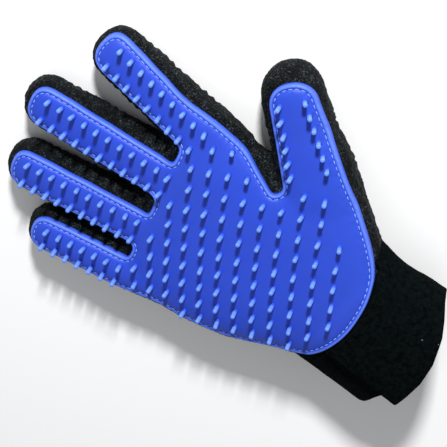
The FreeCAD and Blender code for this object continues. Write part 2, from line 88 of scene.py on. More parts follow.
# Wrist sections: distance below the origin, middle X, half width and height.
WRIST = [(40.0, 8.4, 39.0, 33.4), (64.0, 5.9, 36.4, 35.2), (82.0, 6.2, 37.0, 37.4),
         (106.0, 6.8, 37.8, 40.2)]
CUFF_END = [(54.0, -84.4), (48.0, -87.0), (42.0, -91.2), (32.0, -97.2), (20.0, -101.4), (8.0, -103.0),
            (-8.0, -102.0), (-22.0, -99.6), (-32.0, -96.6)]
HEEL = [(59.5, -29.6), (48.1, -44.4), (38.9, -53.7), (31.0, -57.8), (22.0, -60.3), (7.9, -61.6),
        (-4.1, -60.4), (-15.1, -57.3), (-22.6, -52.0), (-31.6, -37.9), (-39.5, -24.2),
        (-45.8, -8.0), (-49.4, 8.0), (-51.8, 24.0)]
INDEX_SIDE = [(53.2, 53.0), (51.9, 42.0), (49.8, 30.0), (45.6, 20.0)]
THUMB_WEB = [((40.4, 7.6), 2.3), ((45.9, 5.4), 2.3)]
WEB_LINE = (52.3, 0.1435)                # Y at X = 0 of the pad's slots, and its rise per mm of X
SLOT_CORNER = 2.6
LINING_SHOWS = 2.7                       # width of the lining's border round the pad
LIP_MIDDLE = 0.9                         # from the pad's edge to the top of its rolled lip, where the painted highlight is centred
# The pad's section: distance in from its edge, and height. A rolled lip, a sewn channel, the flat sheet.
LIP = [(0.0, 0.5), (0.10, 1.25), (0.35, 1.90), (0.70, 2.22), (1.15, 2.25), (1.60, 2.05), (1.95, 1.80),
       (2.25, 1.45), (2.65, 1.45), (2.95, 1.75), (3.5, 1.95)]
PAD_SPACING = 2.2                        # between the points of the flat sheet
PAD_UNDERSIDE = 0.35                     # how far the sheet reaches into the cloth
TIP_HEIGHT = 6.1
# A soft tip's section: radius and height, from its flared foot to its rounded head.
TIP_PROFILE = [(1.75, 0.0), (1.45, 0.25), (1.28, 0.7), (1.20, 1.5), (1.15, 2.8), (1.14, 4.0),
               (1.15, TIP_HEIGHT - 0.95), (1.08, TIP_HEIGHT - 0.5), (0.86, TIP_HEIGHT - 0.18),
               (0.45, TIP_HEIGHT - 0.02)]
TIP_FOOT = 1.75                          # height of a tip's foot over the cloth
TIP_WANDER = 0.35                        # how far a tip's head may stand off its axis, in X and in Y
TIP_EDGE_GAP = 4.4                       # from the pad's edge to the nearest tip of the palm
TIP_ROW_GAP = 5.6                        # from a tip of the palm to the digits' rows
STITCH_LINE, STITCH_HEIGHT = 2.45, 1.62  # the stitches' distance from the pad's edge, and over the cloth
STITCH_LENGTH, STITCH_GAP, STITCH_RADIUS = 2.2, 0.95, 0.27
VOXEL = 1.7                              # of the remesh that joins the hand and the digits
LOWEST = 0.15                            # the cloth rests this high
WRIST_CUT = -62.5                        # the hand's cloth ends here, inside the cuff
DIGIT_START = -24.0                      # a digit's sleeve starts here, inside the hand
CREASE_WAIST, WAIST_REACH = 0.35, 4.5    # how far a sleeve draws in at a crease, and along how much of it
PLEAT_HEIGHT, PLEAT_REACH = 0.42, 7.0    # the small folds of the cloth beside a crease
WRIST_POWER = 2.15                       # of the wrist's outline
WRIST_MIDDLE = -80.0                     # Y where the wrist's angles are measured
FREE_EDGE_X, ROOT_EDGE = -10.5, -0.22    # X of the strap's free edge, angle of its sewn edge
STRAP_THICKNESS = 1.95
STRAP_BEND, STRAP_CUT = 5.5, 6.0         # from a hinge of the strap: how far its bend reaches, and its cut
HOOK_LAYER, LOOP_LAYER = (1.38, 1.90), (0.80, 1.32)      # how far off the wrist each tape's faces are
# Noise in the cloth: size of its features, seed, height.
FOLDS = ((15, 3.1, 0.55), (6.5, 8.4, 0.34))
BORDER = ((5.5, 2.2, 0.45), (1.9, 6.0, 0.3))
EDGE_STEPS = 5                           # of the rounded edges of the cuff, strap and tapes


def frame_of(digit):
    """A digit's root and its directions along and across, in plan."""
    x, y, lean = DIGITS[digit][:3]
    a = math.radians(lean)
    return Vector((x, y)), Vector((math.sin(a), math.cos(a))), Vector((math.cos(a), -math.sin(a)))


def in_digit(digit, x, y):
    """(distance along, distance across) of a point in a digit's own directions."""
    root, along, across = frame_of(digit)
    d = Vector((x, y)) - root
    return d.dot(along), d.dot(across)


def on_digit(digit, s, t):
    """A point at a distance along a digit and a distance across it."""
    root, along, across = frame_of(digit)
    return root + along * s + across * t


JOINTS = {j["child"]: j for j in frame["joints"]}
LENGTHS = {d: ("base", "end") if d == "thumb" else ("base", "middle", "end") for d in DIGITS}


def crease_of(digit, length):
    """How far along its digit the crease at the foot of a length is."""
    x, y, _ = JOINTS["%s_%s" % (digit, length)]["pos_m"]
    return in_digit(digit, 1000 * x, 1000 * y)[0]


CREASES = {d: [crease_of(d, length) for length in LENGTHS[d]] for d in DIGITS}


def boundaries(digit):
    """Where a digit's visual pieces meet, from its root outwards."""
    creases = CREASES[digit]
    marks = [creases[0] - TIP_PITCH]
    for here, there in zip(creases, creases[1:]):
        rows = round((there - here) / TIP_PITCH)
        marks.append(here + TIP_PITCH * max(1, min(rows - 1, 2)))
    return marks


BOUNDS = {d: boundaries(d) for d in DIGITS}


def piece_at(x, y):
    """The body length that a point seen from above belongs to: "palm", or a digit's length."""
    best, found = 1e9, "palm"
    for digit in DIGITS:
        s, t = in_digit(digit, x, y)
        start = BOUNDS[digit][0]
        if s <= start:
            continue
        reach = DIGITS[digit][3] + 4.5
        if abs(t) < reach and abs(t) / reach < best:
            best = abs(t) / reach
            k = sum(s > mark for mark in BOUNDS[digit]) - 1
            found = "%s_%s" % (digit, LENGTHS[digit][k])
    return found


# ---- Mesh helpers -------------------------------------------------------------------------------
def new_object(name, verts, faces, material=None, smooth=True):
    """A mesh object from coordinates in millimetres."""
    mesh = bpy.data.meshes.new(name)
    mesh.from_pydata([tuple(c * MM for c in v) for v in verts], [], [tuple(f) for f in faces])
    mesh.validate()
    mesh.update()
    if smooth:
        mesh.polygons.foreach_set("use_smooth", [True] * len(mesh.polygons))
    obj = bpy.data.objects.new(name, mesh)
    bpy.context.scene.collection.objects.link(obj)
    if material:
        mesh.materials.append(material)
    return obj


def apply_modifiers(obj):
    """Bakes an object's modifiers into its mesh."""
    graph = bpy.context.evaluated_depsgraph_get()
    mesh = bpy.data.meshes.new_from_object(obj.evaluated_get(graph))
    old = obj.data
    obj.modifiers.clear()
    obj.data = mesh
    bpy.data.meshes.remove(old)


def arrays(obj):
    """A mesh's vertex coordinates in millimetres and its vertex normals."""
    mesh = obj.data
    co = np.empty(len(mesh.vertices) * 3)
    mesh.vertices.foreach_get("co", co)
    no = np.empty(len(mesh.vertices) * 3)
    mesh.vertices.foreach_get("normal", no)
    return co.reshape(-1, 3) / MM, no.reshape(-1, 3)


def store(obj, co):
    """Moves a mesh's vertices to coordinates in millimetres."""
    obj.data.vertices.foreach_set("co", (co * MM).ravel())
    obj.data.update()


def interpolate(table, at):
    """A row of a table of numbers at a value of its first column, eased by a cubic through its rows."""
    if at <= table[0][0] or at >= table[-1][0]:
        return table[0][1:] if at <= table[0][0] else table[-1][1:]
    k = max(i for i in range(len(table)) if table[i][0] <= at)
    k = min(k, len(table) - 2)
    p = [table[max(k - 1, 0)], table[k], table[k + 1], table[min(k + 2, len(table) - 1)]]
    u = (at - p[1][0]) / (p[2][0] - p[1][0])
    out = []
    for c in range(1, len(table[0])):
        m1 = (p[2][c] - p[0][c]) / max(p[2][0] - p[0][0], 1e-6) * (p[2][0] - p[1][0])
        m2 = (p[3][c] - p[1][c]) / max(p[3][0] - p[1][0], 1e-6) * (p[2][0] - p[1][0])
        out.append((2 * u ** 3 - 3 * u ** 2 + 1) * p[1][c] + (u ** 3 - 2 * u ** 2 + u) * m1
                   + (-2 * u ** 3 + 3 * u ** 2) * p[2][c] + (u ** 3 - u ** 2) * m2)
    return out


def ring(centre, across, half_width, half_height, power, count):
    """An upright superellipse of points round a centre."""
    points = []
    for k in range(count):
        a = 2 * math.pi * k / count
        c, s = math.cos(a), math.sin(a)
        x = half_width * math.copysign(abs(c) ** (2 / power), c)
        z = half_height * math.copysign(abs(s) ** (2 / power), s)
        points.append((centre[0] + across[0] * x, centre[1] + across[1] * x, centre[2] + z))
    return points


def skin_of(rings):
    """Vertices and faces of a closed tube through rings."""
    count = len(rings[0])
    verts = [p for r in rings for p in r]
    faces = []
    for k in range(len(rings) - 1):
        for i in range(count):
            j = (i + 1) % count
            faces.append((k * count + i, k * count + j, (k + 1) * count + j, (k + 1) * count + i))
    faces.append(tuple(range(count))[::-1])
    faces.append(tuple(range(len(verts) - count, len(verts))))
    return verts, faces


# ---- Outline of the pad -------------------------------------------------------------------------
def curve_through(points, step=0.7):
    """A smooth line through points, as evenly spaced points."""
    pts = [Vector(p) for p in points]
    ends = [pts[0] * 2 - pts[1]] + pts + [pts[-1] * 2 - pts[-2]]
    out = []
    for k in range(1, len(ends) - 2):
        a, b, c, d = ends[k - 1:k + 3]
        n = max(int((c - b).length / step), 1)
        for i in range(n):
            u = i / n
            out.append(0.5 * ((2 * b) + (c - a) * u + (2 * a - 5 * b + 4 * c - d) * u ** 2
                              + (3 * b - a - 3 * c + d) * u ** 3))
    out.append(pts[-1].copy())
    return out


def rounded(before, corner, after, radius, step=0.5):
    """Points of a round corner between two straight edges."""
    b = (Vector(before) - Vector(corner)).normalized()
    a = (Vector(after) - Vector(corner)).normalized()
    half = b.angle(a) / 2
    reach = radius / math.tan(half)
    start, end = Vector(corner) + b * reach, Vector(corner) + a * reach
    centre = Vector(corner) + (a + b).normalized() * (radius / math.sin(half))
    n = max(int(radius * (math.pi - 2 * half) / step), 4)
    out = []
    for i in range(n + 1):
        u = i / n
        p = start.lerp(end, u)
        out.append(centre + (p - centre).normalized() * radius)
    return out


def strip_edge(digit, s, side):
    """A point on a digit's pad edge at a distance along it."""
    root_half, end_half, reach = DIGITS[digit][8:11]
    share = s / reach
    return on_digit(digit, s, side * (root_half * (1 - share) + end_half * share))


def strip_cap(digit):
    """The round end of a digit's pad, from its left side to its right."""
    end_half, reach, power = DIGITS[digit][9], DIGITS[digit][10], DIGITS[digit][11]
    out = []
    for k in range(41):
        a = math.pi * (1 - k / 40)
        c, s = math.cos(a), math.sin(a)
        out.append(on_digit(digit, reach - end_half + end_half * abs(s) ** (2 / power),
                            end_half * math.copysign(abs(c) ** (2 / power), c)))
    return out


def on_web_line(digit, side):
    """Where a digit's pad edge meets the line of the slots."""
    low, high = -30.0, 30.0
    for _ in range(40):
        mid = (low + high) / 2
        p = strip_edge(digit, mid, side)
        if p.y > WEB_LINE[0] + WEB_LINE[1] * p.x:
            high = mid
        else:
            low = mid
    return strip_edge(digit, mid, side)


def pad_outline():
    """The pad's edge from above, clockwise from the outer side of the hand."""
    fingers = ["little", "ring", "middle", "index"]
    heel = [strip_edge("thumb", 8.0, 1)] + [Vector(p) for p in HEEL]
    heel += [strip_edge("little", 2.0, -1), strip_edge("little", 12.0, -1)]
    path = []
    for k, digit in enumerate(fingers):
        cap = strip_cap(digit)
        path += cap
        if k < 3:
            follower = fingers[k + 1]
            right, left = on_web_line(digit, 1), on_web_line(follower, -1)
            path += rounded(cap[-1], right, left, SLOT_CORNER)
            path += rounded(right, left, strip_cap(follower)[0], SLOT_CORNER)
    side = [path[-1], strip_edge("index", 30.0, 1), strip_edge("index", 14.0, 1)]
    path += curve_through(side + [Vector(p) for p in INDEX_SIDE])[1:]
    (first, r1), (second, r2) = THUMB_WEB
    thumb = strip_cap("thumb")
    path += rounded(INDEX_SIDE[-1], first, second, r1)
    path += rounded(first, second, thumb[0], r2)
    path += thumb
    path += curve_through([thumb[-1]] + heel)[1:]
    return path


def resample(path, step):
    """A closed path as evenly spaced points."""
    pts = np.array([tuple(p) for p in path] + [tuple(path[0])])
    gaps = np.hypot(*(pts[1:] - pts[:-1]).T)
    keep = np.concatenate(([True], gaps > 1e-6))
    pts, gaps = pts[keep], gaps[gaps > 1e-6]
    at = np.concatenate(([0], np.cumsum(gaps)))
    count = int(at[-1] / step)
    want = np.arange(count) * at[-1] / count
    return np.stack([np.interp(want, at, pts[:, c]) for c in range(2)], 1)


def smooth_loop(pts, rounds):
    """A closed loop with its points evened out."""
    for _ in range(rounds):
        pts = pts + 0.5 * ((np.roll(pts, 1, 0) + np.roll(pts, -1, 0)) / 2 - pts)
    return pts


def inward(pts):
    """Unit vectors into a clockwise loop."""
    tangent = np.roll(pts, -1, 0) - np.roll(pts, 1, 0)
    tangent /= np.hypot(*tangent.T)[:, None]
    return np.stack([tangent[:, 1], -tangent[:, 0]], 1)


OUTLINE = smooth_loop(resample(pad_outline(), 0.75), 4)
INWARD = inward(OUTLINE)


def edge_loop(depth):
    """The pad's outline moved inwards by a depth, or outwards by a negative one."""
    return smooth_loop(OUTLINE + INWARD * depth, 2 if depth < 0 else 0)


def inside_loop(loop, x, y):
    """Which points lie inside a closed loop."""
    x, y = np.asarray(x, float), np.asarray(y, float)
    hits = np.zeros(x.shape, int)
    nx, ny = np.roll(loop[:, 0], -1), np.roll(loop[:, 1], -1)
    for ax, ay, bx, by in zip(loop[:, 0], loop[:, 1], nx, ny):
        crosses = (ay > y) != (by > y)
        if by != ay:
            hits += crosses & (x < (bx - ax) * (y - ay) / (by - ay) + ax)
    return hits % 2 == 1


def outline_distance(x, y):
    """Distance of points from the pad's edge, negative outside it."""
    x, y = np.asarray(x, float), np.asarray(y, float)
    out = np.empty(x.shape)
    for k in range(0, len(x), 4000):
        dx = x[k:k + 4000, None] - OUTLINE[None, :, 0]
        dy = y[k:k + 4000, None] - OUTLINE[None, :, 1]
        out[k:k + 4000] = np.sqrt((dx ** 2 + dy ** 2).min(1))
    return np.where(inside_loop(OUTLINE, x, y), out, -out)


# ---- Materials ----------------------------------------------------------------------------------
class Nodes:
    """A new material's node tree, built call by call."""

    def __init__(self, name):
        self.material = bpy.data.materials.new(name)
        self.material.use_nodes = True
        self.tree = self.material.node_tree
        self.shader = self.tree.nodes["Principled BSDF"]
        self.place = self.add("ShaderNodeTexCoord").outputs["Object"]

    def add(self, kind, **settings):
        """A node of a kind, with its own settings."""
        node = self.tree.nodes.new(kind)
        for key, value in settings.items():
            setattr(node, key, value)
        return node

    def feed(self, socket, value):
        """Gives a socket a plain value or another node's output."""
        if isinstance(value, bpy.types.NodeSocket):
            self.tree.links.new(value, socket)
        else:
            socket.default_value = value

    def maths(self, operation, a, b=0.0, clamp=False):
        node = self.add("ShaderNodeMath", operation=operation, use_clamp=clamp)
        self.feed(node.inputs[0], a)
        self.feed(node.inputs[1], b)
        return node.outputs[0]

    def noise(self, scale, detail=2.0, roughness=0.5):
        node = self.add("ShaderNodeTexNoise")
        self.feed(node.inputs["Vector"], self.place)
        node.inputs["Scale"].default_value = scale
        node.inputs["Detail"].default_value = detail
        node.inputs["Roughness"].default_value = roughness
        return node.outputs["Fac"]

    def cells(self, scale, feature="F1"):
        node = self.add("ShaderNodeTexVoronoi", feature=feature)
        self.feed(node.inputs["Vector"], self.place)
        node.inputs["Scale"].default_value = scale
        return node.outputs["Distance"]

    def ramp(self, value, stops):
        """A colour for a value, between stops of position and colour."""
        node = self.add("ShaderNodeValToRGB")
        self.feed(node.inputs[0], value)
        ramp = node.color_ramp
        while len(ramp.elements) < len(stops):
            ramp.elements.new(0.5)
        for element, (at, colour) in zip(ramp.elements, stops):
            element.position = at
            element.color = (*colour, 1)
        return node.outputs[0]

    def mix(self, share, a, b):
        node = self.add("ShaderNodeMix", data_type="RGBA")
        self.feed(node.inputs[0], share)
        for socket, value in ((node.inputs[6], a), (node.inputs[7], b)):
            self.feed(socket, (*value, 1) if isinstance(value, tuple) and len(value) == 3 else value)
        return node.outputs[2]

    def attribute(self, name):
        return self.add("ShaderNodeAttribute", attribute_name=name).outputs["Fac"]

    def bump(self, height, distance, strength=1.0, onto=None):
        node = self.add("ShaderNodeBump")
        node.inputs["Distance"].default_value = distance
        node.inputs["Strength"].default_value = strength
        self.feed(node.inputs["Height"], height)
        if onto is not None:
            self.feed(node.inputs["Normal"], onto)
        return node.outputs[0]

    def set(self, **inputs):
        """Feeds the shader's inputs, with _ for a space in their names, and gives the material."""
        for key, value in inputs.items():
            self.feed(self.shader.inputs[key.replace("_", " ")], value)
        return self.material


def silicone_material():
    """Matt blue silicone, with a painted highlight along the crest of its lip, and tips painted paler to
    stand in for light glowing through them.
    """
    n = Nodes("blue_silicone")
    cloudy = n.noise(60, 3)
    fine = n.noise(1400, 2)
    broad = n.noise(22, 2)
    base = n.mix(n.maths("MULTIPLY", cloudy, 0.5), (0.015, 0.056, 0.54), (0.025, 0.088, 0.66))
    base = n.mix(n.maths("MULTIPLY", broad, 0.45), base, (0.034, 0.062, 0.38))
    # Painted highlight: the crest of the rolled lip is paler, where light catches it.
    lip = n.attribute("lip")
    base = n.mix(n.maths("MULTIPLY", lip, 0.8), base, (0.13, 0.25, 0.92))
    # Painted light: the tips are paler above their feet, standing in for light glowing through the
    # translucent silicone.
    tip = n.attribute("tip")
    base = n.mix(n.maths("MULTIPLY", tip, 0.9), base, (0.15, 0.30, 0.96))
    rough = n.maths("ADD", n.maths("MULTIPLY", fine, 0.16), 0.42)
    bump = n.bump(fine, 0.00004, 0.35, n.bump(cloudy, 0.0004, 0.25))
    return n.set(Base_Color=base, Roughness=rough, Normal=bump, Specular_IOR_Level=0.3)


def mesh_material(name, lift):
    """Coarse air mesh: rounded threads with dark pores between them, near black with paler specks that are
    painted highlights on the threads. A higher lift is brighter.
    """
    n = Nodes(name)
    web = n.cells(620, "DISTANCE_TO_EDGE")
    thread = n.cells(2300)
    patch = n.noise(190, 2, 0.7)
    glint_noise = n.noise(1150, 3, 0.8)
    # The knit's own near-black colour, with paler specks that are painted highlights standing in for glints
    # on the threads.
    knit_and_glints = n.ramp(n.maths("MULTIPLY", glint_noise, n.maths("ADD", n.maths("MULTIPLY", patch, 0.55), 0.73)),
                   [(0.44, (0.0002, 0.0006, 0.0008)), (0.56, (0.0035 * lift, 0.0058 * lift, 0.0072 * lift)),
                    (0.72, (0.080 * lift, 0.098 * lift, 0.105 * lift))])
    height = n.maths("ADD", n.maths("MULTIPLY", web, 1.2), n.maths("MULTIPLY", thread, 0.25))
    bump = n.bump(thread, 0.0002, 0.5, n.bump(height, 0.0009, 0.9))
    return n.set(Base_Color=knit_and_glints, Roughness=0.7, Normal=bump, Sheen_Weight=0.0, Specular_IOR_Level=0.12)


def pile_material():
    """Brushed loop pile: short fibres that catch a little light, with flecks of lint."""
    n = Nodes("black_loop_pile")
    fibre = n.noise(2600, 3, 0.65)
    tufts = n.noise(420, 3, 0.6)
    colour = n.ramp(n.maths("MULTIPLY", fibre, tufts), [(0.12, (0.0002, 0.0005, 0.0006)),
                                                       (0.46, (0.0042, 0.0070, 0.0076))])
    lint = n.cells(260)
    rare = n.noise(55, 1)
    fleck = n.maths("MULTIPLY", n.maths("LESS_THAN", lint, 0.085), n.maths("GREATER_THAN", rare, 0.60))
    colour = n.mix(fleck, colour, (0.16, 0.17, 0.17))
    bump = n.bump(fibre, 0.0003, 0.8, n.bump(tufts, 0.0008, 0.5))
    return n.set(Base_Color=colour, Roughness=0.95, Normal=bump, Sheen_Weight=0.0, Specular_IOR_Level=0.02)


def thread_material(name, colour):
    """Twisted sewing thread, with painted shade in the grooves of its twist."""
    n = Nodes(name)
    twist = n.add("ShaderNodeTexWave", wave_type="BANDS", bands_direction="DIAGONAL")
    twist.inputs["Scale"].default_value = 900
    n.feed(twist.inputs["Vector"], n.place)
    # Painted shade: the thread is darker where the twist's bump is low, in its grooves.
    base = n.mix(twist.outputs["Fac"], tuple(0.7 * c for c in colour), colour)
    return n.set(Base_Color=base, Roughness=0.45, Normal=n.bump(twist.outputs["Fac"], 0.0001, 0.6))


def hook_material():
    """Rows of stiff plastic hooks."""
    n = Nodes("black_hook_tape")
    rows = n.cells(900)
    return n.set(Base_Color=n.ramp(rows, [(0.1, (0.03, 0.03, 0.032)), (0.6, (0.004, 0.004, 0.004))]),
                 Roughness=0.35, Normal=n.bump(rows, 0.0004, 0.8))


SILICONE = silicone_material()
AIR_MESH = mesh_material("black_air_mesh", 1.0)
LINING = mesh_material("black_lining_edge", 0.8)
PILE = pile_material()
BLUE_THREAD = thread_material("blue_thread", (0.22, 0.36, 0.95))
HOOKS = hook_material()


# ---- The cloth skin -----------------------------------------------------------------------------
def hand_form():
    """The hand without its digits, as a closed tube."""
    rings = []
    for y in [HAND[0][0] + k * (HAND[-1][0] - HAND[0][0]) / 40 for k in range(41)]:
        left, right, top, turn, power = interpolate(HAND, y)
        middle, half = (left + right) / 2, (right - left) / 2
        lean = math.tan(math.radians(turn))
        rings.append(ring((middle, y + lean * middle, top / 2), (1, lean), half, top / 2, power, 96))
    return skin_of(rings)


def digit_form(digit):
    """A digit's sleeve with its rounded end, as a closed tube that starts inside the hand."""
    root, along, across = frame_of(digit)
    _, _, _, root_half, end_half, root_high, end_high, length = DIGITS[digit][:8]
    dome = 0.95 * end_half
    stations = [DIGIT_START + (length - dome - DIGIT_START) * k / 24 for k in range(25)]
    stations += [length - dome + dome * math.sin(math.radians(a)) for a in range(8, 89, 8)]
    rings = []
    for s in stations:
        share = max(s, 0) / length
        shrink = math.sqrt(max(1 - (max(s - length + dome, 0) / dome) ** 2.3, 0.0004))
        half = (root_half * (1 - share) + end_half * share) * shrink
        high = root_high * (1 - share) + end_high * share
        waist = sum(math.exp(-((s - crease) / WAIST_REACH) ** 2) for crease in CREASES[digit][1:])
        waist *= CREASE_WAIST
        centre = root + along * s
        if digit == "index":                 # its sleeve leans a little less than its pad
            centre -= across * 1.2 * share
        if digit == "thumb":                 # its outer side is slimmer towards the end
            slim = min(3.6, 5.3 * (max(s - 8.0, 0) / 35) ** 1.2) * shrink
            centre -= across * slim / 2
            half -= slim / 2
        rings.append(ring((centre.x, centre.y, high / 2 - waist), tuple(across), half - waist,
                          high / 2 * shrink ** 0.9, 2.5, 56))
    return skin_of(rings)


def join(name, parts):
    """One mesh object from several lists of vertices and faces."""
    verts, faces = [], []
    for v, f in parts:
        faces += [tuple(i + len(verts) for i in face) for face in f]
        verts += v
    return new_object(name, verts, faces)


def wavy(x, y, z, size, seed=0.0):
    """Smooth noise between -1 and 1, with features of a size in millimetres."""
    return noise.noise(Vector((x / size + seed, y / size - seed, z / size + 2 * seed)))


def layers_of(layers, x, y, z):
    """The sum of several layers of noise at a point."""
    return sum(height * wavy(x, y, z, size, seed) for size, seed, height in layers)


skin = join("skin", [hand_form()] + [digit_form(d) for d in DIGITS])
remesh = skin.modifiers.new("remesh", "REMESH")
remesh.mode = "VOXEL"
remesh.voxel_size = VOXEL * MM
remesh.use_smooth_shade = True
relax = skin.modifiers.new("relax", "SMOOTH")
relax.factor, relax.iterations = 0.5, 7
apply_modifiers(skin)
finer = skin.modifiers.new("finer", "SUBSURF")
finer.levels = finer.render_levels = 1
apply_modifiers(skin)

co, no = arrays(skin)
depth = outline_distance(co[:, 0], co[:, 1])
upper = no[:, 2] > 0.15
free = np.clip(np.where(upper, -depth / 3.0, 1.0), 0, 1)      # 0 under the pad, 1 away from it
lift = np.zeros(len(co))
for i, ((x, y, z), f) in enumerate(zip(co, free)):
    if f <= 0:
        continue
    folds = layers_of(FOLDS, x, y, z)
    knit = abs(wavy(x, y, z, 1.25, 1.7)) * 0.5 + wavy(x, y, z, 2.4, 5.2) * 0.22
    lift[i] = f * (folds + knit)
for digit in DIGITS:
    root, along, across = frame_of(digit)
    s = (co[:, :2] - np.array(root)) @ np.array(along)
    t = (co[:, :2] - np.array(root)) @ np.array(across)
    on = (np.abs(t) < DIGITS[digit][3] + 3) & (s > -6) & (s < DIGITS[digit][7] + 4)
    for crease in CREASES[digit]:
        near = np.exp(-((s - crease) / PLEAT_REACH) ** 2) * on
        lift += PLEAT_HEIGHT * near * free * np.sin((s - crease) * 1.35 + 1.1 * np.sin(t * 0.4))
# The lining stands proud of the outer cloth, with an uneven sewn border round the pad.
uneven = np.array([layers_of(BORDER, x, y, z) for x, y, z in co])
past_border = depth + LINING_SHOWS + uneven
facing_up = np.clip((no[:, 2] - 0.05) / 0.2, 0, 1)
raised = np.clip(past_border / 0.7, 0, 1) * facing_up
bead = np.exp(-((past_border - 0.7) / 0.55) ** 2) * facing_up
lift += 0.5 * raised + 0.35 * bead
rest = np.clip((co[:, 2] - 0.2) / 2.5, 0, 1)
co += no * (lift * rest)[:, None]
co[:, 2] = np.maximum(co[:, 2], LOWEST)
store(skin, co)

SKIN_TREE = BVHTree.FromObject(skin, bpy.context.evaluated_depsgraph_get())


def on_wrist(y, angle, out):
    """A point on the wrist: an angle from the thumb side over the palm side, and a distance out."""
    middle, half, high = interpolate(WRIST, -y)
    c, s = math.cos(angle), math.sin(angle)
    return ((half + out) * math.copysign(abs(c) ** (2 / WRIST_POWER), c) + middle, y,
            high / 2 + (high / 2 + out) * math.copysign(abs(s) ** (2 / WRIST_POWER), s))


def height_of(line, x):
    """Y at an X of a line of points."""
    table = sorted(line)
    return float(np.interp(x, [p[0] for p in table], [p[1] for p in table]))


def cuff_end(x):
    """Y of the cuff's open edge at an X."""
    return height_of(CUFF_END, x)


def heel_y(x):
    """Y of the pad's heel edge at an X."""
    return height_of([p for p in HEEL if p[1] < -15], x)


def wrap(name, angles, y_from, y_to, under, over, rows, material, rough=0.0):
    """A sheet round the wrist with rounded edges, between two Y that depend on the X of each place."""
    loops = []
    for a in angles:
        x = on_wrist(WRIST_MIDDLE, a, 2.0)[0]
        inner, outer = under(x), over(x)
        thick = outer - inner
        ya, yb = y_from(x, a), y_to(x, a)
        middle = (outer + inner) / 2
        turns = [math.pi * k / EDGE_STEPS for k in range(1, EDGE_STEPS)]
        loop = [(ya + (yb - ya) * k / rows, outer) for k in range(rows + 1)]
        loop += [(yb - math.sin(b) * thick * 0.5, middle + math.cos(b) * thick / 2) for b in turns]
        loop += [(yb + (ya - yb) * k / rows, inner) for k in range(rows + 1)]
        loop += [(ya + math.sin(b) * thick * 0.5, middle - math.cos(b) * thick / 2) for b in turns]
        loops.append(loop)
    verts, faces = [], []
    count = len(loops[0])
    closed = abs(angles[-1] - angles[0]) > 6.2
    used = angles[:-1] if closed else angles
    for a, loop in zip(used, loops):
        for y, out in loop:
            x, yy, z = on_wrist(y, a, out)
            if rough:
                bulge = rough * wavy(x, yy, z, 13, 4.4) + 0.35 * rough * wavy(x, yy, z, 4, 9.1)
                nx, nz = math.cos(a), math.sin(a)
                x, z = x + nx * bulge, z + nz * bulge
            verts.append((x, yy, max(z, 0.12)))
    last = len(used)
    for i in range(last if closed else last - 1):
        for j in range(count):
            a, b = i * count + j, i * count + (j + 1) % count
            c, d = ((i + 1) % last) * count + (j + 1) % count, ((i + 1) % last) * count + j
            faces.append((a, d, c, b))
    if not closed:
        faces.append(tuple(range(count)))
        faces.append(tuple(range((last - 1) * count, last * count))[::-1])
    return new_object(name, verts, faces, material)


def angle_at(x):
    """The angle on the palm side of the wrist over an X."""
    low, high = 0.0, math.pi
    for _ in range(40):
        mid = (low + high) / 2
        if on_wrist(WRIST_MIDDLE, mid, 4.0)[0] > x:
            low = mid
        else:
            high = mid
    return mid


def front_of_cuff(x, a):
    """Y of the cuff's hidden edge, under the pad's heel and the strap."""
    return -48.0 if x > 40 else -50.0 if x < -26 else max(heel_y(x), -56.0) + 4


band = wrap("cuff_band_cloth", [2 * math.pi * k / 144 for k in range(145)], front_of_cuff,
            lambda x, a: cuff_end(x) + (6.5 if x < -8 else 0.8) + 0.5 * math.sin(9 * a), lambda x: -1.2,
            lambda x: 0.75, 60, PILE, 0.35)
BAND_TREE = BVHTree.FromObject(band, bpy.context.evaluated_depsgraph_get())


def top_at(x, y):
    """Height of the cloth under the pad at a point seen from above."""
    over, down = Vector((x * MM, y * MM, 0.2)), Vector((0, 0, -1))
    hits = [tree.ray_cast(over, down)[0] for tree in (SKIN_TREE, BAND_TREE)]
    tops = [hit.z / MM for hit in hits if hit]
    return max(tops) if tops else SKIN_TREE.find_nearest(Vector((x * MM, y * MM, 0.02)))[0].z / MM


def smooth_top(points):
    """Heights of the cloth at points, evened out so that the pad bridges small dents."""
    tops = {}
    out = []
    for x, y in points:
        total, weight = 0.0, 0.0
        for dx, dy, w in ((0, 0, 3), (2, 0, 1), (-2, 0, 1), (0, 2, 1), (0, -2, 1)):
            key = (round((x + dx) * 2), round((y + dy) * 2))
            if key not in tops:
                tops[key] = top_at(key[0] / 2, key[1] / 2)
            total += w * tops[key]
            weight += w
        out.append(max(total / weight, tops[(round(x * 2), round(y * 2))] - 0.25))
    return np.array(out)


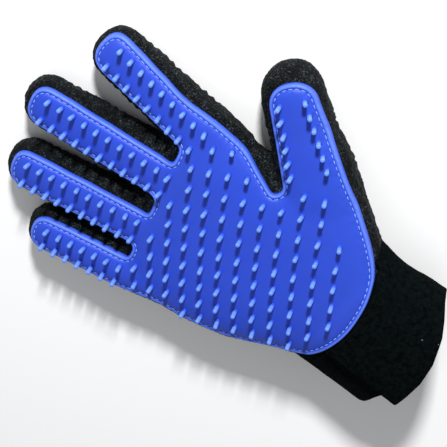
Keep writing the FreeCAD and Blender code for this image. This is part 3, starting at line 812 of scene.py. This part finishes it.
# ---- Flat sheets laid on the skin ---------------------------------------------------------------
def laid_sheet(rings, heights, spacing):
    """A closed sheet over the skin: loops at given heights over the cloth, filled inside the last one."""
    pts, edges = [], []
    for loop in rings:
        base = len(pts)
        pts += [Vector(p) for p in loop]
        edges += [(base + i, base + (i + 1) % len(loop)) for i in range(len(loop))]
    rise = [h for loop, h in zip(rings, heights) for _ in loop]
    inner = rings[-1]
    low, high = inner.min(0), inner.max(0)
    grid = [(low[0] + (i + 0.5 * (j % 2)) * spacing, low[1] + j * spacing * 0.87)
            for i in range(int((high[0] - low[0]) / spacing) + 2)
            for j in range(int((high[1] - low[1]) / spacing / 0.87) + 2)]
    gx, gy = np.array(grid).T
    keep = inside_loop(inner, gx, gy)
    near = np.array([np.hypot(*(inner - (x, y)).T).min() if k else 0 for x, y, k in zip(gx, gy, keep)])
    chosen = [(x, y) for x, y, d in zip(gx, gy, near) if d > spacing * 0.5]
    pts += [Vector(p) for p in chosen]
    rise += [heights[-1]] * len(chosen)
    verts, _, faces, origin, _, _ = delaunay_2d_cdt(pts, edges, [], 1, 1e-5)
    up = [rise[o[0]] if o else heights[-1] for o in origin]
    xy = [(v.x, v.y) for v in verts]
    tops = smooth_top(xy)
    top = [(x, y, z + h) for (x, y), z, h in zip(xy, tops, up)]
    under = [(x, y, z - PAD_UNDERSIDE) for (x, y), z in zip(xy, tops)]
    loop_faces = [tuple(f) for f in faces]
    count = {}
    for f in loop_faces:
        for a, b in zip(f, f[1:] + f[:1]):
            count[(a, b)] = count.get((a, b), 0) + 1
    rim = [(a, b) for a, b in count if (b, a) not in count]
    n = len(top)
    walls = [(b, a, a + n, b + n) for a, b in rim]
    return top + under, loop_faces + [tuple(i + n for i in f[::-1]) for f in loop_faces] + walls


pad_verts, pad_faces = laid_sheet([edge_loop(d) for d, _ in LIP], [h for _, h in LIP], PAD_SPACING)


def soft_tip(x, y):
    """A tip of the pad as rings round its axis, which leans halfway from upright to square to the cloth."""
    reach = 3
    tops = smooth_top([(x, y), (x + reach, y), (x - reach, y), (x, y + reach), (x, y - reach)])
    normal = Vector(((tops[2] - tops[1]) / (4 * reach), (tops[4] - tops[3]) / (4 * reach), 1)).normalized()
    side = normal.cross(Vector((0, 1, 0))).normalized()
    other = normal.cross(side)
    base = Vector((x, y, tops[0] + TIP_FOOT))
    lean = Vector((random.uniform(-TIP_WANDER, TIP_WANDER), random.uniform(-TIP_WANDER, TIP_WANDER), 0))
    sides = 14
    verts, share = [], []
    for r, h in TIP_PROFILE:
        c = base + normal * h + lean * (h / TIP_HEIGHT) ** 1.5
        for k in range(sides):
            a = 2 * math.pi * k / sides
            verts.append(tuple(c + (side * math.cos(a) + other * math.sin(a)) * r))
            share.append(h / TIP_HEIGHT)
    verts.append(tuple(base + normal * TIP_HEIGHT + lean))
    share.append(1.0)
    faces = []
    for k in range(len(TIP_PROFILE) - 1):
        for i in range(sides):
            j = (i + 1) % sides
            faces.append((k * sides + i, k * sides + j, (k + 1) * sides + j, (k + 1) * sides + i))
    last = (len(TIP_PROFILE) - 1) * sides
    faces += [(last + i, last + (i + 1) % sides, len(verts) - 1) for i in range(sides)]
    faces.append(tuple(range(sides))[::-1])
    return verts, faces, share


def tip_places():
    """Where every soft tip stands, seen from above."""
    places = []
    for digit in DIGITS:
        reach = DIGITS[digit][10]
        s = reach - PAD_END_MARGIN
        floor = CREASES[digit][0] if digit == "thumb" else -5.0
        while s > floor:
            share = s / reach
            half = TIP_ROWS[digit][0] * (1 - share) + TIP_ROWS[digit][1] * share
            places += [on_digit(digit, s, -half), on_digit(digit, s, half)]
            s -= TIP_PITCH
    rows = list(places)
    grid = [GRID_START + GRID_A * i + GRID_B * j
            + Vector((GRID_SPREAD[0] * j ** 2, -GRID_SPREAD[1] * i ** 2))
            for i in range(-GRID_REACH, GRID_LAST + 1) for j in range(-GRID_REACH, GRID_REACH + 1)
            if i < GRID_LAST or j >= 0]
    depth = outline_distance([p.x for p in grid], [p.y for p in grid])
    for p, d in zip(grid, depth):
        clear = d > TIP_EDGE_GAP and piece_at(p.x, p.y) == "palm"
        if clear and min((p - q).length for q in rows) > TIP_ROW_GAP:
            places.append(p)
    return places


PLACES = tip_places()


# ---- Pieces cut from the meshes, those of the palm attached to it -------------------------------
def split(obj, label_of):
    """Cuts a mesh into one object per label of its faces, and keeps its shading across the cuts."""
    mesh = obj.data
    co, normals = arrays(obj)
    extra = {}
    for name in ("lip", "tip"):
        if name in mesh.attributes:
            values = np.zeros(len(co), np.float32)
            mesh.attributes[name].data.foreach_get("value", values)
            extra[name] = values
    groups = {}
    for face in mesh.polygons:
        middle = face.center / MM
        label = label_of(middle.x, middle.y, face)
        if label:
            groups.setdefault(label, []).append(tuple(face.vertices))
    parts = {}
    for label, faces in groups.items():
        used = sorted({i for f in faces for i in f})
        place = {old: new for new, old in enumerate(used)}
        part = new_object("%s_%s" % (label, obj.name), [co[i] for i in used],
                          [tuple(place[i] for i in f) for f in faces])
        for material in mesh.materials:
            part.data.materials.append(material)
        for name, values in extra.items():
            spread(part, name, values[used])
        if len(part.data.vertices) == len(used):
            part.data.normals_split_custom_set_from_vertices([tuple(n) for n in normals[used]])
        parts[label] = part
    old = obj.data
    bpy.data.objects.remove(obj)
    bpy.data.meshes.remove(old)
    return parts


def spread(obj, name, values):
    """Keeps a number per vertex for the material to read."""
    attribute = obj.data.attributes.new(name, "FLOAT", "POINT")
    attribute.data.foreach_set("value", np.asarray(values, np.float32))


def follow(obj, piece):
    """Attaches a piece of the palm to the palm's body; any other piece stays where it is, with its transform
    baked into its mesh.
    """
    if piece == "palm":
        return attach(obj, "palm")
    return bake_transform(obj)


def on_piece(x, y, face):
    """The label of a face that belongs to the piece under it."""
    return piece_at(x, y)


def settle(parts, kind):
    """Attaches the palm's part of a layer to the palm's body and keeps the other parts in place; given a
    kind, it hides the CAD nodes of that layer, which the parts stand for.
    """
    for piece, obj in parts.items():
        follow(obj, piece)
        if kind:
            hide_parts("hand_back" if (piece, kind) == ("palm", "back") else "%s_%s" % (piece, kind))


# ---- Pad, tips and stitching --------------------------------------------------------------------
# Mask of the paler paint on the tips, which stands in for light glowing through them.
tip_glow = [0.0] * len(pad_verts)
pad_edge = np.abs(outline_distance([v[0] for v in pad_verts], [v[1] for v in pad_verts]))
# Mask of the painted highlight along the crest of the rolled lip.
lip_highlight = list(np.clip(1.0 - np.abs(pad_edge - LIP_MIDDLE), 0, 1))
for place in PLACES:
    v, f, share = soft_tip(place.x, place.y)
    pad_faces += [tuple(i + len(pad_verts) for i in face) for face in f]
    pad_verts += v
    lip_highlight += [0.0] * len(v)
    tip_glow += [min(max((s - 0.12) / 0.35, 0.0), 1.0) for s in share]
pad = new_object("silicone", pad_verts, pad_faces, SILICONE)
spread(pad, "lip", lip_highlight)
spread(pad, "tip", tip_glow)


def stitch_run(loop, name, material):
    """Short stitches in a row along a closed loop over the cloth."""
    steps = np.hypot(*(np.roll(loop, -1, 0) - loop).T)
    at = np.concatenate(([0], np.cumsum(steps)))
    closed = np.vstack([loop, loop[:1]])
    count = int(at[-1] / (STITCH_LENGTH + STITCH_GAP))
    pitch = at[-1] / count
    swell = ((0.0, 0.25), (0.06, 0.75), (0.2, 1.0), (0.5, 1.05), (0.8, 1.0), (0.94, 0.75), (1.0, 0.25))
    verts, faces = [], []
    sides = 8
    for k in range(count):
        marks = [k * pitch + STITCH_LENGTH * u for u, _ in swell]
        xy = np.stack([np.interp(marks, at, closed[:, c]) for c in range(2)], 1)
        tops = smooth_top([tuple(p) for p in xy])
        direction = Vector((*(xy[-1] - xy[0]), 0)).normalized()
        side = Vector((direction.y, -direction.x, 0))
        base = len(verts)
        for (x, y), z, mark, (_, thick) in zip(xy, tops, marks, swell):
            dip = 0.35 * (2 * mark / STITCH_LENGTH - 2 * marks[0] / STITCH_LENGTH - 1) ** 4
            for i in range(sides):
                a = 2 * math.pi * i / sides
                p = Vector((x, y, z + STITCH_HEIGHT - dip)) + side * (STITCH_RADIUS * thick * math.cos(a))
                p.z += STITCH_RADIUS * thick * 0.8 * math.sin(a)
                verts.append(tuple(p))
        for j in range(6):
            for i in range(sides):
                n = (i + 1) % sides
                faces.append((base + j * sides + i, base + (j + 1) * sides + i,
                              base + (j + 1) * sides + n, base + j * sides + n))
        faces.append(tuple(base + i for i in range(sides)))
        faces.append(tuple(base + 6 * sides + i for i in range(sides))[::-1])
    return new_object(name, verts, faces, material)


stitches = stitch_run(edge_loop(STITCH_LINE), "stitching", BLUE_THREAD)
settle(split(pad, on_piece), "pad")
settle(split(stitches, on_piece), None)

# ---- Cloth layers -------------------------------------------------------------------------------
def layer_and_piece(x, y, face):
    """Which cloth a face of the skin is, and on which piece."""
    if y < WRIST_CUT:
        return None
    share = sum(raised[i] for i in face.vertices) / len(face.vertices)
    return "%s %s" % (piece_at(x, y), "lining" if share > 0.5 else "back")


skin.data.materials.append(AIR_MESH)
cloths = split(skin, layer_and_piece)
for layer, material, slot_name in (("back", AIR_MESH, "mesh"), ("lining", LINING, "lining")):
    parts = {label.split()[0]: obj for label, obj in cloths.items() if label.endswith(layer)}
    for piece, obj in parts.items():
        obj.name = obj.data.name = "%s_%s_cloth" % (piece, layer)
        obj.data.materials[0] = material
    settle(parts, layer)

# ---- Cuff and strap -----------------------------------------------------------------------------
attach(band, "palm")
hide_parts("cuff_band")

STRAP_SEAM = 1000 * JOINTS["strap"]["pos_m"][0]
STRAP_FOLD = 1000 * JOINTS["strap_end"]["pos_m"][0]


def arc_over(x_from, x_to, count):
    """Angles on the palm side of the wrist from one X to another."""
    first, last = angle_at(x_from), angle_at(x_to)
    return [first + (last - first) * k / count for k in range(count + 1)]


def strap_front(x, a):
    """Y of the strap's front edge, just behind the pad's heel."""
    return max(heel_y(min(x, 44.0)) - 1.4, -52.0) if x > 40 else heel_y(x) - 1.4


def strap_under(x):
    """How far off the wrist the strap's inner face is: it rises from its root over the patches."""
    share = min(max((46.0 - x) / 9.0, 0), 1)
    return 0.8 + 1.15 * share * share * (3 - 2 * share)


free_edge = angle_at(FREE_EDGE_X)
angles = [ROOT_EDGE + (free_edge - ROOT_EDGE) * k / 90 for k in range(91)]
strap = wrap("cloth", angles, strap_front, lambda x, a: cuff_end(x), strap_under,
             lambda x: strap_under(x) + STRAP_THICKNESS, 56, PILE, 0.45)


def strap_part(x, y, face):
    """The part of the strap that a face belongs to. The cuts lie under its bends."""
    if x > STRAP_SEAM + STRAP_CUT:
        return "strap_root"
    return "strap_middle" if x > STRAP_FOLD + STRAP_CUT else "strap_tab"


parts = split(strap, strap_part)
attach(parts["strap_root"], "palm")
for name, x, parent, child in (("strap_middle", STRAP_SEAM, "palm", "strap"),
                               ("strap_tab", STRAP_FOLD, "strap", "strap_end")):
    _, y, high = JOINTS[child]["pos_m"]
    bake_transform(parts[name])
for name, obj in parts.items():
    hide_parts(name)

hooks = wrap("hook_patch_tape", arc_over(STRAP_FOLD - 6.0, -8.0, 20), lambda x, a: -67.5,
             lambda x, a: cuff_end(x) + 5.0, lambda x: HOOK_LAYER[0], lambda x: HOOK_LAYER[1], 20, HOOKS)
loops_tape = wrap("loop_patch_tape", arc_over(STRAP_FOLD - 1.0, -15.0, 24), lambda x, a: -66.5,
                  lambda x, a: cuff_end(x) + 8.0, lambda x: LOOP_LAYER[0], lambda x: LOOP_LAYER[1], 20, PILE)
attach(hooks, "strap_end")
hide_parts("hook_patch")
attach(loops_tape, "palm")
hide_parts("loop_patch")

# ---- Floor, light and camera --------------------------------------------------------------------
far, low = 2500, -0.3
floor = new_object("floor", [(-far, -far, low), (far, -far, low), (far, far, low), (-far, far, low)],
                   [(0, 1, 2, 3)], smooth=False)
paper = Nodes("white_paper")
floor.data.materials.append(paper.set(Base_Color=(0.96, 0.96, 0.965, 1), Roughness=0.9))

world = bpy.data.worlds.new("studio")
world.use_nodes = True
world.node_tree.nodes["Background"].inputs["Color"].default_value = (0.97, 0.985, 1.0, 1)
world.node_tree.nodes["Background"].inputs["Strength"].default_value = 0.33
bpy.context.scene.world = world


def lamp(name, direction, distance, size, power):
    """A soft square light that looks at the glove."""
    light = bpy.data.lights.new(name, "AREA")
    light.size, light.energy = size, power
    obj = bpy.data.objects.new(name, light)
    target = Vector((0.01, 0.01, 0.02))
    obj.location = target + Vector(direction).normalized() * distance
    obj.rotation_euler = (-Vector(direction)).to_track_quat("-Z", "Y").to_euler()
    bpy.context.scene.collection.objects.link(obj)
    return obj


lamp("key", (0.79, 0.32, 0.53), 1.3, 0.15, 24)
lamp("fill", (-0.5, 0.2, 0.85), 1.5, 1.2, 1.5)

lens = bpy.data.cameras.new("camera")
lens.lens, lens.sensor_width = 102.96, 36.0
camera = bpy.data.objects.new("camera", lens)
bpy.context.scene.collection.objects.link(camera)
up = Vector((0.68244, 0.55483, -0.47586))
aim = Vector((9.924, 18.427, 22.0))      # a place on the palm
camera.location = Vector((330.0, 74.73, 561.71)) * MM
look = (aim * MM - camera.location).normalized()
side = look.cross(up).normalized()
true_up = side.cross(look)
camera.matrix_world = Matrix(((side.x, true_up.x, -look.x, camera.location.x),
                              (side.y, true_up.y, -look.y, camera.location.y),
                              (side.z, true_up.z, -look.z, camera.location.z), (0, 0, 0, 1)))
lens.clip_start, lens.clip_end = 0.01, 20
bpy.context.scene.camera = camera
bpy.context.scene.view_settings.view_transform = "Standard"

bpy.context.view_layer.update()
